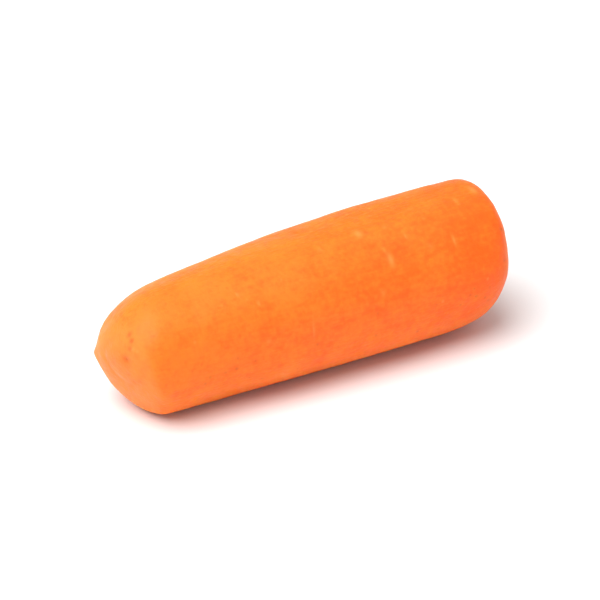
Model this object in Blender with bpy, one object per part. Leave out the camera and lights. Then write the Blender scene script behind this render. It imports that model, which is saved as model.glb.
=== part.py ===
"""A baby-cut carrot: a short length of root, sawn square at both ends and tumbled until its skin is gone
and its corners are round. It lies on its side on a small flat spot.

Units are metres. +X runs along the carrot from its narrow end to its thick end, +Z is up, -Y is the front.
The origin is the middle of the footprint, on the surface that the carrot lies on.

The body is one closed surface. A sphere is the start: its rings run round the carrot, and its two poles are
the middles of the sawn faces. Each of its points is moved out to where skin_point() puts it, by its ring and
its angle. Angles round the carrot start at the back (+Y) and pass over the top (+Z) at 90 degrees.
"""

import math
from collections import namedtuple

import bmesh
import bpy
from mathutils import Matrix, Vector

# Overall size.
LENGTH = 0.0540
NARROW_RADIUS = 0.0074
THICK_RADIUS = 0.0091
BELLY = 0.0007  # how much the middle is thicker than a straight taper
BOW = 0.0005  # how far the middle of the axis stands off a straight line

# The two sawn ends. A corner is rounded off over a different length on each of its four sides: at LEAN,
# and then a quarter turn further each time. A power of 2 rounds it as an ellipse, and more keeps the face
# flatter. The slope is how far the face leans out along the carrot on its LEAN side. The root's core shows
# on the face as a ring that stands a little low, with a pit where its pith was: their middles are (y, z)
# from the axis.
LEAN = math.radians(56)
End = namedtuple("End", "side corners power slope core pith")
NARROW = End(
    side=-1,
    corners=(0.0112, 0.0038, 0.0033, 0.0048),
    power=2.1,
    slope=-0.34,
    core=(-0.0024, 0.0017),
    pith=(-0.0035, 0.0027),
)
THICK = End(
    side=1,
    corners=(0.0036, 0.0054, 0.0125, 0.0054),
    power=3.4,
    slope=0.04,
    core=(0.0005, -0.0003),
    pith=(0.0002, 0.0),
)
CORE_RADIUS = 0.0030
CORE_RING_WIDTH = 0.0009
CORE_RING_DEPTH = 0.00014
PITH_RADIUS = 0.0013
PITH_DEPTH = 0.00032

# The section: soft flats that tumbling leaves along the sides, and shallow unevenness.
FLATS = 7
FLAT_DEPTH = 0.00009
FLAT_TWIST = 14.0  # radians per metre
Wave = namedtuple("Wave", "height per_metre lobes phase")
WAVES = (
    Wave(height=0.00012, per_metre=19.0, lobes=2, phase=0.9),
    Wave(height=0.00009, per_metre=41.0, lobes=1, phase=2.4),
    Wave(height=0.00007, per_metre=63.0, lobes=3, phase=4.4),
)

# A burr that the saw left at the back of the narrow face.
BURR_ANGLE = math.radians(-6)
BURR_OFF_AXIS = 0.0048
BURR_RADIUS = 0.0025
BURR_HEIGHT = 0.0005

# The rest: the carrot lies on its underside, where it is smoothest.
UNDERSIDE = math.radians(-90)
UNDERSIDE_SPREAD = math.radians(60)
REST_DEPTH = 0.00016  # how much of the round side the flat spot takes off
TAPER_TILT = math.radians(1.75)  # lying down, the thick end's axis is higher

# The mesh.
POINTS_ROUND = 64
RINGS = 86
END_RINGS = 21  # of RINGS, those on each rounded end
BUMP_FALL = 4.0  # a bump has fallen to e to the minus this at its reach

CARROT_COLOUR = (0.86, 0.21, 0.028, 1.0)
CARROT_ROUGHNESS = 0.42


def clear_scene():
    for old in list(bpy.data.objects):
        bpy.data.objects.remove(old, do_unlink=True)


def bump(distance, reach):
    """1 at no distance, falling smoothly to almost 0 at the reach."""
    return math.exp(-BUMP_FALL * (distance / reach) ** 2)


def corner_length(end, angle):
    """How long the end's corner is at this angle, from its lengths at LEAN and each quarter turn after."""
    first, second, third, fourth = end.corners
    turn = angle - LEAN
    mean = (first + second + third + fourth) / 4
    one_sided = (first - third) / 2 * math.cos(turn) + (second - fourth) / 2 * math.sin(turn)
    two_sided = (first + third - second - fourth) / 4 * math.cos(2 * turn)
    return mean + one_sided + two_sided


def taper_radius(along):
    """The plain radius at a place along the carrot, with its belly."""
    share = along / LENGTH + 0.5
    return NARROW_RADIUS + (THICK_RADIUS - NARROW_RADIUS) * share + BELLY * (1 - (2 * share - 1) ** 2)


def unevenness(along, angle):
    """What the flats and the waves add to the radius. They fade out round the underside."""
    flats = FLAT_DEPTH * math.cos(FLATS * (angle - FLAT_TWIST * along))
    waves = sum(
        wave.height
        * math.sin(2 * math.pi * wave.per_metre * along + wave.phase)
        * math.cos(wave.lobes * angle - wave.phase)
        for wave in WAVES
    )
    from_underside = math.remainder(angle - UNDERSIDE, 2 * math.pi)
    return (flats + waves) * (1 - bump(from_underside, UNDERSIDE_SPREAD))


def face_relief(end, y, z):
    """How far an end's face stands out at a place: the core's ring and pith stand low, the burr high."""
    ring = CORE_RING_DEPTH * bump(math.dist((y, z), end.core) - CORE_RADIUS, CORE_RING_WIDTH)
    pith = PITH_DEPTH * bump(math.dist((y, z), end.pith), PITH_RADIUS)
    if end is THICK:
        return -ring - pith
    burr = (BURR_OFF_AXIS * math.cos(BURR_ANGLE), BURR_OFF_AXIS * math.sin(BURR_ANGLE))
    return BURR_HEIGHT * bump(math.dist((y, z), burr), BURR_RADIUS) - ring - pith


def place_on_meridian(end, share, angle):
    """(place along the carrot, share of the full radius) for a share of the way from pole to pole."""
    end_share = END_RINGS / RINGS
    if end_share <= share <= 1 - end_share:
        middle = (share - end_share) / (1 - 2 * end_share)
        start = -LENGTH / 2 + corner_length(NARROW, angle)
        stop = LENGTH / 2 - corner_length(THICK, angle)
        return start + (stop - start) * middle, 1.0
    turn = min(share, 1 - share) / end_share * math.pi / 2
    size = (math.sin(turn) ** end.power + math.cos(turn) ** end.power) ** (1 / end.power)
    inward = corner_length(end, angle) * (1 - math.cos(turn) / size)
    return end.side * (LENGTH / 2 - inward), math.sin(turn) / size


def skin_point(share, angle):
    """The point of the skin a share of the way from the narrow pole to the thick one, at an angle round."""
    end = NARROW if share < 0.5 else THICK
    along, fullness = place_on_meridian(end, share, angle)
    radius = fullness * (taper_radius(along) + unevenness(along, angle))
    y = radius * math.cos(angle)
    z = radius * math.sin(angle)
    from_middle = 2 * along / LENGTH
    slant = from_middle**2 * end.slope * radius * math.cos(angle - LEAN)
    lifted = BOW * (1 - from_middle**2)
    return Vector((
        along + slant + end.side * face_relief(end, y, z),
        y + lifted * math.cos(LEAN),
        z + lifted * math.sin(LEAN),
    ))


def shape_the_sphere(mesh):
    """Moves each point of a unit sphere, whose poles are on Z, to its place on the skin."""
    for vertex in mesh.verts:
        share = math.acos(max(-1.0, min(1.0, -vertex.co.z))) / math.pi
        vertex.co = skin_point(share, math.atan2(vertex.co.y, vertex.co.x))


def lay_down(mesh):
    """Tilts the body until it lies on its side, cuts the flat spot and puts the origin under its middle."""
    bmesh.ops.rotate(mesh, verts=mesh.verts, matrix=Matrix.Rotation(-TAPER_TILT, 3, "Y"))
    floor = min(vertex.co.z for vertex in mesh.verts) + REST_DEPTH
    cut = bmesh.ops.bisect_plane(
        mesh,
        geom=mesh.verts[:] + mesh.edges[:] + mesh.faces[:],
        plane_co=(0, 0, floor),
        plane_no=(0, 0, -1),
        clear_outer=True,
    )
    rim = [item for item in cut["geom_cut"] if isinstance(item, bmesh.types.BMEdge)]
    bmesh.ops.edgeloop_fill(mesh, edges=rim)
    low = Vector([min(vertex.co[axis] for vertex in mesh.verts) for axis in range(3)])
    high = Vector([max(vertex.co[axis] for vertex in mesh.verts) for axis in range(3)])
    bmesh.ops.translate(mesh, verts=mesh.verts, vec=(-(low.x + high.x) / 2, -(low.y + high.y) / 2, -low.z))


def carrot_material():
    material = bpy.data.materials.new("carrot_flesh")
    material.use_nodes = True
    shader = material.node_tree.nodes["Principled BSDF"]
    shader.inputs["Base Color"].default_value = CARROT_COLOUR
    shader.inputs["Roughness"].default_value = CARROT_ROUGHNESS
    shader.inputs["Metallic"].default_value = 0.0
    return material


def make_carrot(collection):
    mesh = bmesh.new()
    bmesh.ops.create_uvsphere(mesh, u_segments=POINTS_ROUND, v_segments=RINGS, radius=1.0)
    shape_the_sphere(mesh)
    lay_down(mesh)
    bmesh.ops.recalc_face_normals(mesh, faces=mesh.faces)
    data = bpy.data.meshes.new("carrot")
    mesh.to_mesh(data)
    mesh.free()
    data.shade_smooth()
    data.materials.append(carrot_material())
    carrot = bpy.data.objects.new("carrot", data)
    collection.objects.link(carrot)
    return carrot


def main():
    clear_scene()
    collection = bpy.data.collections.new("baby_cut_carrot")
    bpy.context.scene.collection.children.link(collection)
    make_carrot(collection)


main()
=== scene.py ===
"""The looks of a baby-cut carrot that lies on a white surface.

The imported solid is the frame. A fine grid is wrapped round it, smoothed until the solid's facets are gone,
and given the relief that the saw, the tumbling and the root's own growth leave: soft unevenness, root scars,
pits, scuffs, the core that shows on both sawn faces, and a burr. The grid carries what a material needs to
know at each point, such as how pale a scar is, and one procedural material paints it.

Units are metres. +X runs from the narrow end to the thick one, +Z is up, -Y is the front. Angles round the
carrot start at the back (+Y) and pass over the top (+Z) at 90 degrees, and the front is at 180.
"""

import math
from collections import namedtuple

import bpy
import numpy as np
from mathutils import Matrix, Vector, noise
from mathutils.bvhtree import BVHTree


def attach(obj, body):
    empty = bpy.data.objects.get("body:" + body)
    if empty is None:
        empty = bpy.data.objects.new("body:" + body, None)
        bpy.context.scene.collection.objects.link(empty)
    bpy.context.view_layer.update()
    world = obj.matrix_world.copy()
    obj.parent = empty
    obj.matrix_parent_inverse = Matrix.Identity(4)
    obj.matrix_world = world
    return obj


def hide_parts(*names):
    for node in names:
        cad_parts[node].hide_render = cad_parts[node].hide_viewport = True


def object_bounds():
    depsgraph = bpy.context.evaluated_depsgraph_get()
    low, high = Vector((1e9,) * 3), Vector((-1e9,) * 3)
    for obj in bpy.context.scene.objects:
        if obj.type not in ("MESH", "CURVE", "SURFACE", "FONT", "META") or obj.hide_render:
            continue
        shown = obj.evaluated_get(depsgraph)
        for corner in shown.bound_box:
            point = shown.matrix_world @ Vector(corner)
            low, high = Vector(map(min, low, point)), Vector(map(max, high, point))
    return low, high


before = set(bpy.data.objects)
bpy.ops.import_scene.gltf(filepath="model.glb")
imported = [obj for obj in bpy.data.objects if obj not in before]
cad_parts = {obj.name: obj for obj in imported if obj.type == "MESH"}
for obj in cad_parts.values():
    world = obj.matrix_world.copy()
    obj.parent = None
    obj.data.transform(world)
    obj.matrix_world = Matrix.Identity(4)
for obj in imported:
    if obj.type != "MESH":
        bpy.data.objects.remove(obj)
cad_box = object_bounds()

MM = 0.001
NODE = "carrot"
SEED = 41

# The grid that is wrapped round the solid.
COLUMNS = 284  # round the carrot
ROWS = 328  # from the middle of the narrow face to the middle of the thick one
RAYS_PER_CAP = 260
RAYS_ALONG = 320
INSET = 7.5 * MM  # the two caps' rays start this far inside the ends
SECTION_HALF = 1.5 * MM  # a section takes in the solid's points this far to each side of it
SMOOTH_ROWS = 2.4  # how far the facets are smoothed away, in rows and in columns
SMOOTH_COLUMNS = 2.2
KERNEL_REACH = 3  # a smoothing kernel ends this many times its width out
BUMP_FALL = 4.0  # a bump has fallen to e to the minus this at its reach

# What the grid carries for the material, from 0 to 1 at each point.
PAINTS = ("face", "core", "ring", "deep", "pale", "dark")

# Unevenness of the whole skin: size of the blobs, height, how much longer they are along than round, and a
# shift that gives each layer noise of its own.
Unevenness = namedtuple("Unevenness", "size height stretch shift")
SKIN = (
    Unevenness(size=5.2 * MM, height=0.100 * MM, stretch=1.6, shift=3.0),
    Unevenness(size=2.1 * MM, height=0.045 * MM, stretch=1.1, shift=17.0),
    Unevenness(size=0.9 * MM, height=0.018 * MM, stretch=0.8, shift=31.0),
)

# Scars where side roots grew: rows of shallow dents that run across, paler than the flesh. A pair of values
# goes from the faintest scar to the strongest, apart from the length, which is drawn on its own.
SCAR_ROWS = 4
SCARS_PER_ROW = 5
FIRST_SCAR_ROW = 0.4  # where the first row is, as a share of the turn between two rows
SCAR_SCATTER = 0.22  # how far scars stray from their row, in radians
SCAR_MARGIN = 6.0 * MM  # the ends have no scars
SCAR_LENGTH = (1.0 * MM, 3.0 * MM)
SCAR_HALF_WIDTH = 0.36 * MM
SCAR_DEPTH = (0.015 * MM, 0.090 * MM)
SCAR_PALE = (0.25, 0.70)

# Pits: small round ones all over, a little darker than the flesh.
PITS = 320
PIT_RADIUS = (0.22 * MM, 0.55 * MM)
PIT_DEPTH = (0.010 * MM, 0.040 * MM)
PIT_DARK = (0.0, 0.35)

# Marks of this one carrot: place along, angle round in degrees, half length along and round, how deep or, if
# negative, how high, and how pale or, if negative, how dark.
Mark = namedtuple("Mark", "along angle half_along half_round depth pale")
MARKS = (
    Mark(6.8 * MM, 106, 0.95 * MM, 1.25 * MM, -0.03 * MM, 0.65),
    Mark(7.9 * MM, 107, 0.55 * MM, 0.60 * MM, 0.16 * MM, -0.45),
    Mark(9.2 * MM, 136, 0.75 * MM, 1.60 * MM, -0.03 * MM, 0.75),
    Mark(10.1 * MM, 134, 0.40 * MM, 1.10 * MM, 0.05 * MM, -0.20),
    Mark(-3.1 * MM, 172, 0.36 * MM, 2.30 * MM, 0.03 * MM, 0.38),
    Mark(-9.2 * MM, 170, 0.65 * MM, 0.75 * MM, -0.02 * MM, 0.30),
    Mark(1.1 * MM, 109, 0.65 * MM, 0.80 * MM, -0.02 * MM, 0.32),
    Mark(6.9 * MM, 159, 0.65 * MM, 0.75 * MM, -0.02 * MM, 0.38),
    Mark(10.4 * MM, 108, 0.70 * MM, 0.70 * MM, -0.02 * MM, 0.30),
    Mark(14.8 * MM, 135, 0.65 * MM, 0.85 * MM, -0.02 * MM, 0.30),
    Mark(24.2 * MM, 98, 0.80 * MM, 1.50 * MM, -0.02 * MM, 0.70),
    Mark(21.0 * MM, 104, 0.55 * MM, 1.20 * MM, -0.02 * MM, 0.40),
)

# The sawn faces: where the middle of the root's core and its pith are, as (y, z), how red the core's middle
# is, and how much of the rays and of the core's and the ring's colours shows.
Face = namedtuple("Face", "side core pith deep shows")
FACES = (
    Face(side=-1, core=(-2.6 * MM, 9.2 * MM), pith=(-3.5 * MM, 10.1 * MM), deep=0.10, shows=0.35),
    Face(side=1, core=(0.3 * MM, 8.9 * MM), pith=(0.0, 9.2 * MM), deep=0.60, shows=1.0),
)
FACE_SLANT = (0.50, 0.86)  # the X part of the skin's normal where a face starts, and where it is whole

# The core: a disc whose edge goes in and out in broad and in fine lobes, with a ring along its edge.
CORE_RADIUS = 3.0 * MM
CORE_EDGE = 0.7 * MM
BROAD_LOBES = 3
BROAD_LOBE_HEIGHT = 0.25 * MM
FINE_LOBES = 7
FINE_LOBE_HEIGHT = 0.10 * MM
RING_REACH = 0.85 * MM
PITH_RADIUS = 0.55 * MM
PITH_DEPTH = 0.10 * MM
PITH_DARK = 0.30

# Rays across the core and out from it. They are noise: a high place is pale, and a low one dark.
RAYS_ROUND = 5.0  # how closely they stand round the core
RAYS_REACH = 5.5 * MM  # how far from the core's edge they have faded away
RAYS_SHIFT = 5.0  # gives the rays noise of their own
RAY_LENGTH = 1.9 * MM
RAY_HEIGHT = 0.030 * MM
RAY_PALE = 0.9
RAY_PALE_FROM = 0.12
RAY_DARK = 0.5
RAY_DARK_FROM = 0.25

# Dots of this one carrot's narrow face: y, z, radius, how deep or, if negative, how high, and how dark or, if
# negative, how pale.
Dot = namedtuple("Dot", "y z radius depth dark")
NARROW_DOTS = (
    Dot(-3.40 * MM, 10.10 * MM, 1.20 * MM, 0.03 * MM, 0.36),
    Dot(-2.90 * MM, 13.10 * MM, 0.65 * MM, 0.04 * MM, 0.80),
    Dot(-3.60 * MM, 12.60 * MM, 0.60 * MM, 0.04 * MM, 0.80),
    Dot(-3.80 * MM, 11.70 * MM, 0.60 * MM, 0.04 * MM, 0.50),
    Dot(-4.20 * MM, 11.75 * MM, 0.50 * MM, -0.03 * MM, -0.55),
    Dot(-4.75 * MM, 11.10 * MM, 0.75 * MM, 0.03 * MM, 0.15),
    Dot(-1.40 * MM, 8.80 * MM, 0.80 * MM, 0.03 * MM, 0.20),
    Dot(-3.80 * MM, 8.10 * MM, 0.60 * MM, 0.04 * MM, 0.30),
    Dot(-4.10 * MM, 7.10 * MM, 0.65 * MM, 0.04 * MM, 0.30),
    Dot(-5.10 * MM, 7.60 * MM, 0.50 * MM, 0.03 * MM, 0.28),
    Dot(-3.70 * MM, 13.90 * MM, 0.60 * MM, 0.04 * MM, 0.80),
    Dot(-0.30 * MM, 8.10 * MM, 0.60 * MM, 0.02 * MM, 0.16),
)

# The burr at the back of the narrow face, as (y, z), with a crest finer than the solid's.
BURR = (4.5 * MM, 7.1 * MM)
BURR_RADIUS = 0.9 * MM
BURR_HEIGHT = 0.10 * MM
BURR_PALE = 0.35


def bump(distance, reach):
    """1 at no distance, falling smoothly to almost 0 at the reach."""
    return np.exp(-BUMP_FALL * (distance / reach) ** 2)


def smooth_step(value, low, high):
    """0 up to the low value and 1 from the high one, with a smooth step between them."""
    share = np.clip((value - low) / (high - low), 0, 1)
    return share**2 * (3 - 2 * share)


def between(limits, share):
    low, high = limits
    return low + (high - low) * share


def cloud(points, size, shift):
    """Soft noise from about -1 to 1 at each point, in blobs of about this size."""
    places = points.reshape(-1, 3) / size + shift
    return np.array([noise.noise(Vector(place)) for place in places]).reshape(points.shape[:-1])


def kernel(width):
    """The steps and weights of a bell curve of this width."""
    steps = np.arange(-math.ceil(KERNEL_REACH * width), math.ceil(KERNEL_REACH * width) + 1)
    weights = np.exp(-0.5 * (steps / width) ** 2)
    return steps, weights / weights.sum()


def smoothed_round(grid, width):
    """The grid smoothed along each row, which closes on itself."""
    steps, weights = kernel(width)
    return sum(weight * np.roll(grid, step, axis=1) for step, weight in zip(steps, weights))


def smoothed_along(grid, width):
    """The grid smoothed along each column. A column goes on over its pole into the one opposite."""
    steps, weights = kernel(width)
    reach = steps[-1]
    opposite = np.roll(grid, grid.shape[1] // 2, axis=1)
    longer = np.concatenate([opposite[reach:0:-1], grid, opposite[-2:-reach - 2:-1]])
    return sum(weight * longer[reach + step:reach + step + len(grid)] for step, weight in zip(steps, weights))


def section_middle(points, along):
    """The middle of the solid's section at a place along it."""
    near = points[abs(points[:, 0] - along) < SECTION_HALF]
    return np.array([along, *((near.min(0) + near.max(0)) / 2)[1:]])


def wrapped_grid(node):
    """Rows of points on the node's surface, from the middle of one end to the middle of the other.

    Rays find them. Over each end they spread out from one point on the axis, and between those two points
    they stand square to the carrot.
    """
    mesh = node.data
    points = np.array([vertex.co for vertex in mesh.vertices])
    tree = BVHTree.FromPolygons([v.co for v in mesh.vertices], [p.vertices for p in mesh.polygons])
    narrow = section_middle(points, points[:, 0].min() + INSET)
    thick = section_middle(points, points[:, 0].max() - INSET)

    turns = np.linspace(0, math.pi / 2, RAYS_PER_CAP)
    starts = [narrow] * RAYS_PER_CAP
    starts += [narrow + (thick - narrow) * share for share in np.linspace(0, 1, RAYS_ALONG + 2)[1:-1]]
    starts += [thick] * RAYS_PER_CAP
    leans = [-math.cos(turn) for turn in turns]
    leans += [0.0] * RAYS_ALONG
    leans += [math.cos(turn) for turn in turns[::-1]]

    grid = np.empty((len(starts), COLUMNS, 3))
    for row, (start, lean) in enumerate(zip(starts, leans)):
        outward = math.sqrt(1 - lean**2)
        for column in range(COLUMNS):
            angle = 2 * math.pi * column / COLUMNS
            ray = Vector((lean, outward * math.cos(angle), outward * math.sin(angle)))
            grid[row, column] = tree.ray_cast(Vector(start), ray)[0]
    return evenly_spaced(grid)


def evenly_spaced(grid):
    """The grid with each column's points moved along it until they are the same distance apart."""
    even = np.empty((ROWS, COLUMNS, 3))
    for column in range(COLUMNS):
        line = grid[:, column]
        so_far = np.concatenate([[0], np.cumsum(np.linalg.norm(np.diff(line, axis=0), axis=1))])
        places = np.linspace(0, so_far[-1], ROWS)
        even[:, column] = np.stack([np.interp(places, so_far, line[:, axis]) for axis in range(3)], axis=-1)
    return even


def normals_of(grid):
    """The direction straight out of the skin at each point."""
    opposite = np.roll(grid, COLUMNS // 2, axis=1)
    longer = np.concatenate([opposite[1:2], grid, opposite[-2:-1]])
    along = longer[2:] - longer[:-2]
    across = np.roll(grid, -1, axis=1) - np.roll(grid, 1, axis=1)
    normals = np.cross(along, across)
    normals[0] = normals[1].mean(axis=0)
    normals[-1] = normals[-2].mean(axis=0)
    normals /= np.linalg.norm(normals, axis=-1, keepdims=True)
    outside = ((grid - grid.mean(axis=(0, 1))) * normals).sum() > 0
    return normals if outside else -normals


class Skin:
    """The wrapped grid, with the relief and the paints that build up on it."""

    def __init__(self, grid):
        self.grid = grid
        self.normals = normals_of(grid)
        axis_z = (grid[..., 2].max(axis=1, keepdims=True) + grid[..., 2].min(axis=1, keepdims=True)) / 2
        self.angle = np.arctan2(grid[..., 2] - axis_z, grid[..., 1])
        self.radius = np.hypot(grid[..., 2] - axis_z, grid[..., 1])
        self.height = np.zeros(grid.shape[:2])
        self.paints = {name: np.zeros(grid.shape[:2]) for name in PAINTS}

    def facing(self, side):
        """1 on the sawn face at one end, falling smoothly to 0 over its rounded corner."""
        return smooth_step(self.normals[..., 0] * side, *FACE_SLANT) * (self.grid[..., 0] * side > 0)

    def from_place(self, y, z):
        """How far each point is from a place on a sawn face, seen straight on."""
        return np.hypot(self.grid[..., 1] - y, self.grid[..., 2] - z)

    def spot(self, along, angle, half_along, half_round):
        """A soft oval round a place on the side, from 1 at its middle to 0."""
        turn = np.angle(np.exp(1j * (self.angle - angle)))
        off = np.hypot((self.grid[..., 0] - along) / half_along, turn * self.radius / half_round)
        return bump(off, 1.0) * (abs(turn) < math.pi / 2)

    def stamp(self, shape, depth, pale):
        """Presses a shape in this deep and makes it this pale. Below 0 it is raised, or dark."""
        self.height -= depth * shape
        self.paints["pale"] += max(pale, 0) * shape
        self.paints["dark"] += max(-pale, 0) * shape


def add_unevenness(skin):
    for layer in SKIN:
        squeezed = skin.grid / np.array([layer.stretch, 1, 1])
        skin.height += layer.height * cloud(squeezed, layer.size, layer.shift)


def add_scars(skin, draw):
    for row in range(SCAR_ROWS):
        row_angle = 2 * math.pi * (row + FIRST_SCAR_ROW) / SCAR_ROWS
        for _ in range(SCARS_PER_ROW):
            along = draw.uniform(cad_box[0][0] + SCAR_MARGIN, cad_box[1][0] - SCAR_MARGIN)
            angle = row_angle + draw.normal(0, SCAR_SCATTER)
            strength = draw.uniform(0, 1) ** 2
            length = between(SCAR_LENGTH, draw.uniform())
            shape = skin.spot(along, angle, SCAR_HALF_WIDTH, length / 2)
            skin.stamp(shape, between(SCAR_DEPTH, strength), between(SCAR_PALE, strength))


def add_pits(skin, draw):
    for _ in range(PITS):
        along = draw.uniform(cad_box[0][0], cad_box[1][0])
        angle = draw.uniform(0, 2 * math.pi)
        radius = draw.uniform(*PIT_RADIUS)
        depth = draw.uniform(*PIT_DEPTH)
        dark = draw.uniform(*PIT_DARK)
        skin.stamp(skin.spot(along, angle, radius, radius), depth, -dark)


def add_marks(skin):
    for mark in MARKS:
        shape = skin.spot(mark.along, math.radians(mark.angle), mark.half_along, mark.half_round)
        skin.stamp(shape, mark.depth, mark.pale)


def core_edge(face, turn):
    """How far the core's edge is from its middle at an angle round it."""
    broad = BROAD_LOBE_HEIGHT * np.sin(BROAD_LOBES * turn + face.side)
    fine = FINE_LOBE_HEIGHT * np.sin(FINE_LOBES * turn)
    return CORE_RADIUS + broad + fine


def rays_round(face, turn, from_core):
    """The rays' noise at an angle round the core and a distance from its middle."""
    polar = np.stack([RAYS_ROUND * np.cos(turn), RAYS_ROUND * np.sin(turn), from_core / RAY_LENGTH], axis=-1)
    return cloud(polar, 1.0, RAYS_SHIFT + face.side)


def add_faces(skin):
    for face in FACES:
        facing = skin.facing(face.side)
        from_core = skin.from_place(*face.core)
        turn = np.arctan2(skin.grid[..., 2] - face.core[1], skin.grid[..., 1] - face.core[0])
        off_edge = from_core - core_edge(face, turn)
        core = smooth_step(-off_edge, -CORE_EDGE, CORE_EDGE)
        rays = rays_round(face, turn, from_core) * bump(off_edge, RAYS_REACH) * facing * face.shows
        pith = bump(skin.from_place(*face.pith), PITH_RADIUS) * facing
        skin.height += RAY_HEIGHT * rays - PITH_DEPTH * pith
        skin.paints["face"] += facing
        skin.paints["core"] += core * facing * face.shows
        skin.paints["ring"] += bump(off_edge, RING_REACH) * facing * face.shows
        skin.paints["deep"] += face.deep * bump(from_core, CORE_RADIUS + RING_REACH) * facing
        skin.paints["pale"] += RAY_PALE * np.clip(rays - RAY_PALE_FROM, 0, 1)
        skin.paints["dark"] += PITH_DARK * pith + RAY_DARK * np.clip(-rays - RAY_DARK_FROM, 0, 1)


def add_dots(skin):
    facing = skin.facing(-1)
    for dot in NARROW_DOTS:
        shape = bump(skin.from_place(dot.y, dot.z), dot.radius) * facing
        skin.stamp(shape, dot.depth, -dot.dark)


def add_burr(skin):
    crest = bump(skin.from_place(*BURR), BURR_RADIUS) * (skin.grid[..., 0] < 0)
    skin.stamp(crest, -BURR_HEIGHT, BURR_PALE)


def carrot_skin():
    grid = wrapped_grid(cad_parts[NODE])
    grid = smoothed_along(smoothed_round(grid, SMOOTH_COLUMNS), SMOOTH_ROWS)
    skin = Skin(grid)
    draw = np.random.default_rng(SEED)
    add_unevenness(skin)
    add_scars(skin, draw)
    add_pits(skin, draw)
    add_marks(skin)
    add_faces(skin)
    add_dots(skin)
    add_burr(skin)
    return skin


def single_poles(grid):
    """The grid's values in one list, with a single mean value for the row at each pole."""
    first = grid[:1].mean(axis=1)
    last = grid[-1:].mean(axis=1)
    return np.concatenate([first, grid[1:-1].reshape(-1, *grid.shape[2:]), last])


def mesh_of(skin):
    """The skin as a closed mesh, with a single point at each pole."""
    points = skin.grid + skin.height[..., None] * skin.normals
    points[..., 2] = np.maximum(points[..., 2], 0)
    vertices = single_poles(points)
    last = len(vertices) - 1

    def number(row, column):
        return 1 + (row - 1) * COLUMNS + column % COLUMNS

    faces = [(0, number(1, c + 1), number(1, c)) for c in range(COLUMNS)]
    faces += [
        (number(r, c), number(r, c + 1), number(r + 1, c + 1), number(r + 1, c))
        for r in range(1, ROWS - 2)
        for c in range(COLUMNS)
    ]
    faces += [(last, number(ROWS - 2, c), number(ROWS - 2, c + 1)) for c in range(COLUMNS)]
    mesh = bpy.data.meshes.new("carrot_skin")
    mesh.from_pydata(vertices.tolist(), [], faces)
    for name, values in skin.paints.items():
        layer = mesh.attributes.new(name, "FLOAT", "POINT")
        layer.data.foreach_set("value", np.clip(single_poles(values), 0, 1).astype(np.float32))
    mesh.shade_smooth()
    return mesh


# The sockets of a mix node that are for colours. Their names don't tell them from those for other values.
MIX_INPUTS = (0, 6, 7)  # the share, the first colour and the second
MIX_OUTPUT = 2


class Nodes:
    """Adds nodes to a material or a world. An input is given a value or another node's output."""

    def __init__(self, owner):
        owner.use_nodes = True
        self.tree = owner.node_tree
        self.tree.nodes.clear()

    def feed(self, socket, value):
        if isinstance(value, bpy.types.NodeSocket):
            self.tree.links.new(value, socket)
        else:
            socket.default_value = value

    def add(self, kind, inputs=None, **settings):
        made = self.tree.nodes.new(kind)
        for name, value in settings.items():
            setattr(made, name, value)
        for name, value in (inputs or {}).items():
            self.feed(made.inputs[name], value)
        return made

    def attribute(self, name):
        return self.add("ShaderNodeAttribute", attribute_name=name).outputs["Fac"]

    def noise(self, where, size, detail=2.0, roughness=0.5):
        """Noise from 0 to 1 in blobs of about this size."""
        made = self.add(
            "ShaderNodeTexNoise",
            {"Vector": where, "Scale": 1 / size, "Detail": detail, "Roughness": roughness},
        )
        return made.outputs["Fac"]

    def scaled(self, where, scale):
        return self.add("ShaderNodeMapping", {"Vector": where, "Scale": scale}).outputs["Vector"]

    def ranged(self, value, low, high, new_low, new_high):
        """The value taken from one range to another, smoothly, and kept inside it."""
        made = self.add(
            "ShaderNodeMapRange",
            {"Value": value, "From Min": low, "From Max": high, "To Min": new_low, "To Max": new_high},
            interpolation_type="SMOOTHSTEP",
        )
        return made.outputs["Result"]

    def mixed(self, share, first, second):
        made = self.add("ShaderNodeMix", data_type="RGBA")
        for number, value in zip(MIX_INPUTS, (share, first, second)):
            self.feed(made.inputs[number], value)
        return made.outputs[MIX_OUTPUT]

    def maths(self, operation, first, second):
        made = self.add("ShaderNodeMath", operation=operation)
        self.feed(made.inputs[0], first)
        self.feed(made.inputs[1], second)
        return made.outputs[0]

    def times(self, first, second):
        return self.maths("MULTIPLY", first, second)

    def total(self, first, *others):
        for other in others:
            first = self.maths("ADD", first, other)
        return first

    def speckles(self, where, kind):
        """Small round speckles, one in each cell. Some are faint."""
        cell = self.add("ShaderNodeTexVoronoi", {"Vector": where, "Scale": 1 / kind.spacing})
        shape = self.ranged(cell.outputs["Distance"], 0.0, kind.radius, kind.strength, 0.0)
        return self.times(shape, self.ranged(cell.outputs["Color"], *SPECKLE_CHANCE, 0.0, 1.0))

    def bumped(self, height, distance, normal=None):
        inputs = {"Height": height, "Distance": distance}
        if normal:
            inputs["Normal"] = normal
        return self.add("ShaderNodeBump", inputs).outputs["Normal"]


DEEP_ORANGE = (0.88, 0.122, 0.005, 1.0)
GOLDEN_ORANGE = (0.91, 0.196, 0.014, 1.0)
PALE_FLESH = (0.97, 0.310, 0.065, 1.0)
DARK_FLESH = (0.33, 0.072, 0.007, 1.0)
CORE_FLESH = (0.94, 0.225, 0.036, 1.0)
RING_FLESH = (0.78, 0.098, 0.006, 1.0)
# The sawn faces' paler flesh: partly the cut flesh's own colour, partly a painted sheen.
FACE_FLESH_AND_SHEEN = (0.95, 0.235, 0.044, 1.0)
RED_FLESH = (0.86, 0.085, 0.004, 1.0)
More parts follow.
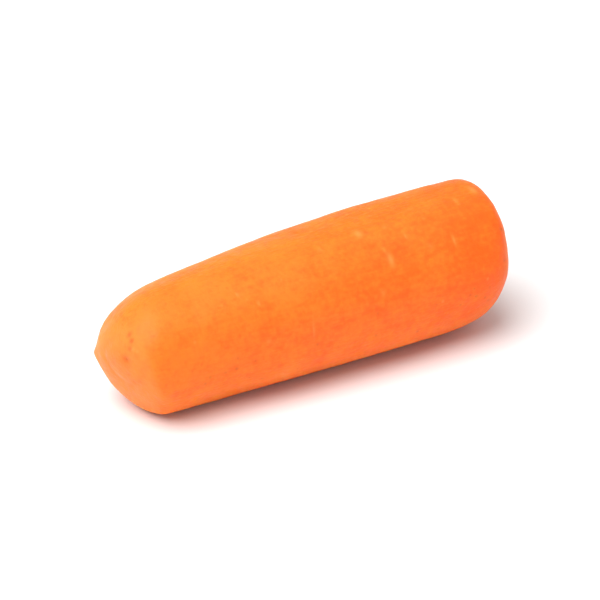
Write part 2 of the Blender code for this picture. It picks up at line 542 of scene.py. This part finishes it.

# The tone, from deep to golden orange, is a sum: broad patches, mottling, fine flecks and fibres that run
# along the root, each with its share. On top of these, painted shade deepens it towards the thick end, and
# painted light makes it more golden upwards.
Patch = namedtuple("Patch", "size is_fibre share")
PATCHES = (
    Patch(size=8.0 * MM, is_fibre=False, share=0.65),
    Patch(size=2.4 * MM, is_fibre=False, share=0.60),
    Patch(size=0.65 * MM, is_fibre=False, share=0.62),
    Patch(size=0.45 * MM, is_fibre=True, share=0.38),
)
FIBRE_SCALE = (0.16, 1.0, 1.0)  # less than 1 draws the fibres' noise out along the carrot
PAINTED_SHADE_ALONG = -7.0  # painted shade: what a metre towards the thick end adds to the tone, deepening it
PAINTED_LIGHT_UP = 8.0  # painted light: what a metre upwards adds to the tone, making it more golden
TONE_RANGE = (0.86, 1.54)  # deep orange up to the first, and golden from the second

# How strongly each of the grid's paints colours the flesh, in the order that they go on.
Paint = namedtuple("Paint", "name share colour")
FACE_PAINTS = (
    # The faces' paler flesh is partly a painted sheen.
    Paint("face", 0.50, FACE_FLESH_AND_SHEEN),
    Paint("core", 0.55, CORE_FLESH),
    Paint("ring", 0.35, RING_FLESH),
    Paint("deep", 1.0, RED_FLESH),
)
SPOT_PAINTS = (
    Paint("pale", 1.0, PALE_FLESH),
    Paint("dark", 1.0, DARK_FLESH),
)

# Speckles all over: the size of the cells that hold one each, and their radius as a share of it.
Speckles = namedtuple("Speckles", "spacing radius strength colour")
SPECKLES = (
    Speckles(spacing=1.5 * MM, radius=0.22, strength=0.27, colour=DARK_FLESH),
    Speckles(spacing=2.3 * MM, radius=0.16, strength=0.40, colour=PALE_FLESH),
)
SPECKLE_CHANCE = (0.35, 0.80)  # a cell's random value where its speckle starts to show, and is whole

# The surface: a fine grain with fibres over it, and satin patches.
GRAIN_SIZE = 0.42 * MM
GRAIN_HEIGHT = 0.070 * MM
GRAIN_DETAIL = 3.0
GRAIN_ROUGHNESS = 0.6
FIBRE_SIZE = 0.30 * MM
FIBRE_HEIGHT = 0.045 * MM
SATIN_SIZE = 1.2 * MM
SATIN_NOISE = (0.3, 0.7)
SATIN_ROUGHNESS = (0.42, 0.56)


def flesh_colour(nodes, where, fibres):
    patches = [
        nodes.times(nodes.noise(fibres if patch.is_fibre else where, patch.size), patch.share)
        for patch in PATCHES
    ]
    place = nodes.add("ShaderNodeSeparateXYZ", {"Vector": where}).outputs
    # Random patches, plus painted shade towards the thick end and painted light upwards.
    tone_with_painted_light = nodes.total(*patches, nodes.times(place["X"], PAINTED_SHADE_ALONG), nodes.times(place["Z"], PAINTED_LIGHT_UP))
    colour = nodes.mixed(nodes.ranged(tone_with_painted_light, *TONE_RANGE, 0.0, 1.0), DEEP_ORANGE, GOLDEN_ORANGE)
    for paint in FACE_PAINTS:
        colour = nodes.mixed(nodes.times(nodes.attribute(paint.name), paint.share), colour, paint.colour)
    for kind in SPECKLES:
        colour = nodes.mixed(nodes.speckles(where, kind), colour, kind.colour)
    for paint in SPOT_PAINTS:
        colour = nodes.mixed(nodes.times(nodes.attribute(paint.name), paint.share), colour, paint.colour)
    return colour


def carrot_material():
    material = bpy.data.materials.new("carrot_flesh")
    nodes = Nodes(material)
    where = nodes.add("ShaderNodeTexCoord").outputs["Object"]
    fibres = nodes.scaled(where, FIBRE_SCALE)
    grain = nodes.noise(where, GRAIN_SIZE, GRAIN_DETAIL, GRAIN_ROUGHNESS)
    grained = nodes.bumped(grain, GRAIN_HEIGHT)
    shader = nodes.add(
        "ShaderNodeBsdfPrincipled",
        {
            "Base Color": flesh_colour(nodes, where, fibres),
            "Roughness": nodes.ranged(nodes.noise(where, SATIN_SIZE), *SATIN_NOISE, *SATIN_ROUGHNESS),
            "Normal": nodes.bumped(nodes.noise(fibres, FIBRE_SIZE), FIBRE_HEIGHT, grained),
            "IOR": 1.40,
            "Specular IOR Level": 0.32,
            "Subsurface Weight": 0.85,
            "Subsurface Radius": (1.0, 0.07, 0.03),
            "Subsurface Scale": 4.0 * MM,
        },
    )
    nodes.add("ShaderNodeOutputMaterial", {"Surface": shader.outputs["BSDF"]})
    return material


def add_carrot():
    carrot = bpy.data.objects.new("carrot_body", mesh_of(carrot_skin()))
    bpy.context.scene.collection.objects.link(carrot)
    carrot.data.materials.append(carrot_material())
    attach(carrot, "root")
    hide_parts(NODE)


FLOOR_HALF = 2.5
FLOOR_CORNERS = ((-1, -1), (1, -1), (1, 1), (-1, 1))
FLOOR_COLOUR = (0.83, 0.83, 0.83, 1.0)
FLOOR_ROUGHNESS = 0.9
FLOOR_SPECULAR = 0.1


def add_floor():
    mesh = bpy.data.meshes.new("floor")
    mesh.from_pydata([(x * FLOOR_HALF, y * FLOOR_HALF, 0) for x, y in FLOOR_CORNERS], [], [(0, 1, 2, 3)])
    floor = bpy.data.objects.new("floor", mesh)
    bpy.context.scene.collection.objects.link(floor)
    material = bpy.data.materials.new("floor")
    nodes = Nodes(material)
    shader = nodes.add(
        "ShaderNodeBsdfPrincipled",
        {"Base Color": FLOOR_COLOUR, "Roughness": FLOOR_ROUGHNESS, "Specular IOR Level": FLOOR_SPECULAR},
    )
    nodes.add("ShaderNodeOutputMaterial", {"Surface": shader.outputs["BSDF"]})
    mesh.materials.append(material)


TARGET = Vector((0, 0, 9 * MM))  # what the key light and the camera point at
WORLD_LIGHT = 0.56
KEY_AZIMUTH = math.radians(-78)
KEY_ELEVATION = math.radians(62)
KEY_DISTANCE = 1.0
KEY_SIZE = 1.1
KEY_WATTS = 16.6


def direction(azimuth, elevation):
    """The direction from the carrot to something: azimuth 0 is in front (-Y) and 90 on the right (+X)."""
    level = math.cos(elevation)
    return Vector((math.sin(azimuth) * level, -math.cos(azimuth) * level, math.sin(elevation)))


def add_light():
    world = bpy.data.worlds.new("studio")
    nodes = Nodes(world)
    shader = nodes.add("ShaderNodeBackground", {"Color": (1, 1, 1, 1), "Strength": WORLD_LIGHT})
    nodes.add("ShaderNodeOutputWorld", {"Surface": shader.outputs["Background"]})
    bpy.context.scene.world = world

    light = bpy.data.lights.new("key", "AREA")
    light.shape = "DISK"
    light.size = KEY_SIZE
    light.energy = KEY_WATTS
    key = bpy.data.objects.new("key", light)
    back = direction(KEY_AZIMUTH, KEY_ELEVATION)
    key.location = TARGET + KEY_DISTANCE * back
    key.rotation_euler = back.to_track_quat("Z", "Y").to_euler()
    key.visible_camera = False
    bpy.context.scene.collection.objects.link(key)


CAMERA_AZIMUTH = math.radians(-30.3)
CAMERA_ELEVATION = math.radians(30)
CAMERA_DISTANCE = 0.600
CAMERA_CLIP_START = 0.010
SENSOR_WIDTH = 36.0  # in millimetres, as Blender has it
FRAME_WIDTH = 0.074  # what the picture takes in at the carrot


def add_camera():
    data = bpy.data.cameras.new("camera")
    data.sensor_width = SENSOR_WIDTH
    data.lens = SENSOR_WIDTH * CAMERA_DISTANCE / FRAME_WIDTH
    data.clip_start = CAMERA_CLIP_START
    camera = bpy.data.objects.new("camera", data)
    back = direction(CAMERA_AZIMUTH, CAMERA_ELEVATION)
    camera.location = TARGET + CAMERA_DISTANCE * back
    camera.rotation_euler = back.to_track_quat("Z", "Y").to_euler()
    bpy.context.scene.collection.objects.link(camera)
    bpy.context.scene.camera = camera


add_carrot()
add_floor()
add_light()
add_camera()
bpy.context.scene.view_settings.view_transform = "Standard"
